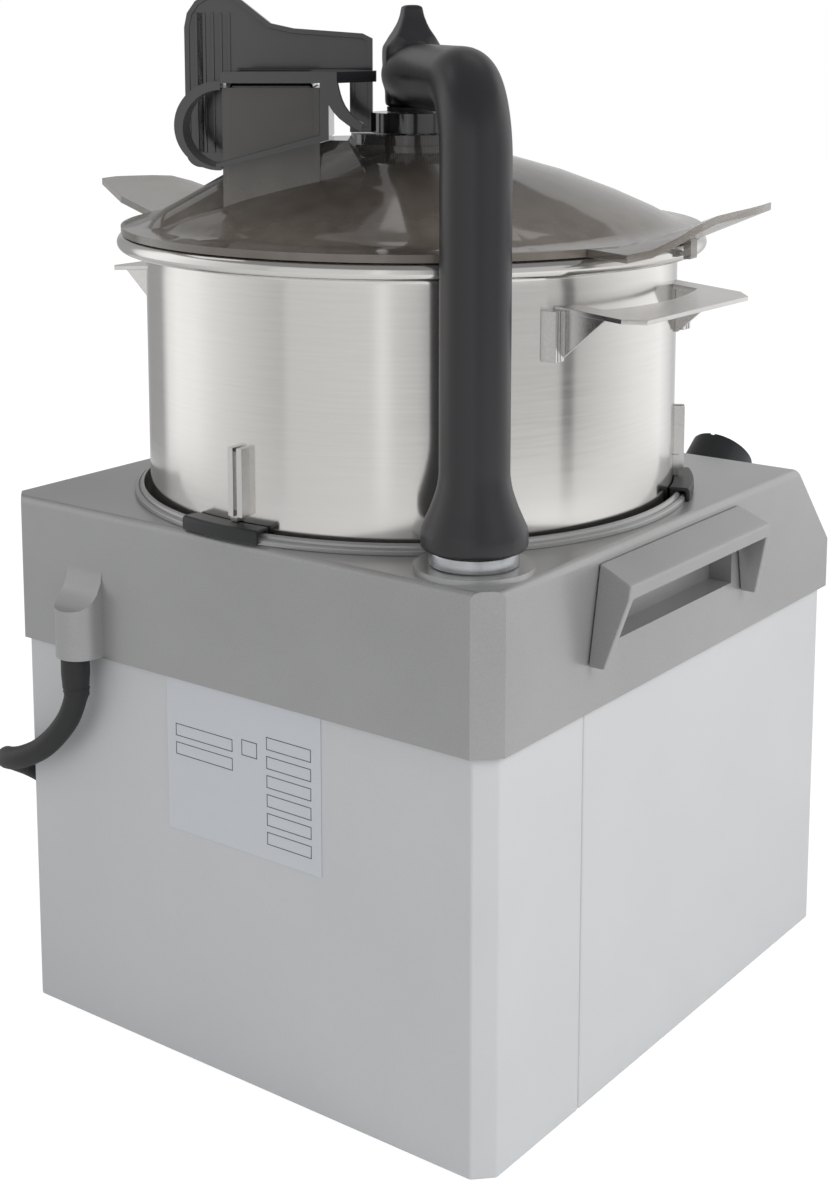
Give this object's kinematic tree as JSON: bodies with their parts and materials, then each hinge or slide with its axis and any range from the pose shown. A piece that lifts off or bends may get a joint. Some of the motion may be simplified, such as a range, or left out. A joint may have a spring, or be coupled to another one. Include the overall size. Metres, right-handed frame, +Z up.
{
  "type": "food_processor",
  "caption": "Commercial vertical cutter mixer: square base with motor, steel bowl with knife, smoked lid with feed cup and scraper lever, and a safety arm over the lid.",
  "frame": {"origin": "middle of the machine's footprint, on the floor under the feet", "axes": "+Z up; -Y towards the user, where the sloping control panel is; +X to the user's right"},
  "size_m": [0.5224, 0.3404, 0.5064],
  "materials": {
    "cast_grey": "fine satin casting, painted grey",
    "sheet_steel": "brushed sheet covers",
    "bowl_steel": "brushed stainless bowl, polished rim",
    "machined_steel": "turned steel",
    "blade_steel": "ground and honed",
    "iron": "laminated core",
    "copper": "enamelled copper wire",
    "brass": "plain",
    "arm_black": "glossy moulding",
    "black_plastic": "fine grained",
    "lever_black": "moulded, satin",
    "smoked_clear": "smoke-tinted clear moulding",
    "ivory_plastic": "smooth",
    "rubber": "matt",
    "board": "solder mask",
    "label": "plain blank plate",
    "red_plastic": "moulded"
  },
  "bodies": {
    "machine": {"feet": "rubber", "foot_screws": "machined_steel", "bottom_plate": "sheet_steel", "rear_cover": "sheet_steel", "front_cover": "sheet_steel", "tie_posts": "machined_steel", "top_housing": "cast_grey", "side_grip_left": "cast_grey", "side_grip_right": "cast_grey", "bowl_clips": "black_plastic", "rear_plate": "label", "arm_collar": "machined_steel", "arm_bushes": "ivory_plastic", "door_switch": "black_plastic", "control_panel": "black_plastic", "rotary_switch": "black_plastic", "motor_top_bell": "machined_steel", "motor_stator": "iron", "motor_windings": "copper", "motor_bottom_bell": "machined_steel", "motor_bolts": "machined_steel", "bearings": "machined_steel", "shaft_seal": "rubber", "run_capacitor": "machined_steel", "control_board": "board", "board_standoffs": "brass", "bowl_seat": "cast_grey", "terminal_block": "ivory_plastic", "bowl_shell": "bowl_steel", "bowl_handle_left": "bowl_steel", "bowl_handle_right": "bowl_steel", "bowl_lugs": "bowl_steel", "lead_gland": "rubber", "power_cord": "rubber", "power_cord_coil": "rubber", "power_plug": "rubber", "plug_pins": "brass"},
    "rotor": {"motor_shaft": "machined_steel", "motor_rotor": "iron", "motor_fan": "black_plastic", "knife_hub": "ivory_plastic", "lower_blades": "blade_steel", "upper_blades": "blade_steel", "knife_nut": "ivory_plastic"},
    "arm": {"safety_arm": "arm_black", "arm_pad": "rubber", "arm_shaft": "machined_steel", "arm_cam": "ivory_plastic"},
    "plunger": {"switch_plunger": "red_plastic"},
    "knob": {"control_knob": "black_plastic"},
    "lid": {"lid_dome": "smoked_clear", "lid_wings": "smoked_clear", "lid_seal": "ivory_plastic", "scraper_bush": "ivory_plastic"},
    "feed": {"feed_cup": "smoked_clear", "cup_frame": "black_plastic"},
    "scraper": {"scraper_lever": "lever_black", "scraper_shaft": "machined_steel", "scraper_frame": "ivory_plastic", "scraper_wipers": "rubber"}
  },
  "joints": [
    {"name": "knife_spin", "type": "hinge", "parent": "machine", "child": "rotor", "pos_m": [0, 0.01763, 0.3], "axis": [0, 0, 1], "continuous": true},
    {"name": "arm_swing", "type": "hinge", "parent": "machine", "child": "arm", "pos_m": [-0.11461, 0.12693, 0.27], "axis": [0, 0, 1], "range_deg": [-110, 0]},
    {"name": "plunger_push", "type": "slide", "parent": "machine", "child": "plunger", "axis": [0.7237, -0.6901, 0], "range_m": [0, 0.0015], "stiffness_N_per_m": 60},
    {"name": "knob_turn", "type": "hinge", "parent": "machine", "child": "knob", "pos_m": [-0.08, -0.14025, 0.24335], "axis": [0, -0.7549, 0.6558], "range_deg": [-45, 45]},
    {"name": "lid_turn", "type": "hinge", "parent": "machine", "child": "lid", "pos_m": [0, 0.01763, 0.4], "axis": [0, 0, 1], "range_deg": [-12, 0]},
    {"name": "feed_cup_lift", "type": "slide", "parent": "lid", "child": "feed", "axis": [0, 0, 1], "range_m": [0, 0.07]},
    {"name": "scraper_turn", "type": "hinge", "parent": "lid", "child": "scraper", "pos_m": [0, 0.01763, 0.44], "axis": [0, 0, 1], "range_deg": [-165, 0]}
  ]
}
